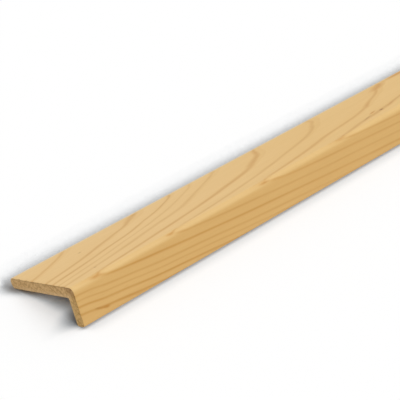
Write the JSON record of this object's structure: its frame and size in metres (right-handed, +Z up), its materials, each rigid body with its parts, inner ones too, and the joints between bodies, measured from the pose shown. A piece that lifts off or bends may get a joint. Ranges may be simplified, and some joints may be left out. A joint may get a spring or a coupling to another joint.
{
  "type": "corner guard moulding",
  "caption": "Length of bare pine corner guard moulding with an L section of one wide and one narrow leg, a rounded nose and eased free edges.",
  "frame": {"origin": "the middle of the underside, on the floor that the two free edges rest on", "axes": "+X along the length, +Y towards the wide leg's free edge, +Z up past the rounded nose"},
  "size_m": [1.219, 0.053, 0.0188],
  "materials": {
    "pine": "bare, planed smooth, with sawn ends"
  },
  "bodies": {
    "root": {"corner_guard": "pine"}
  },
  "joints": []
}
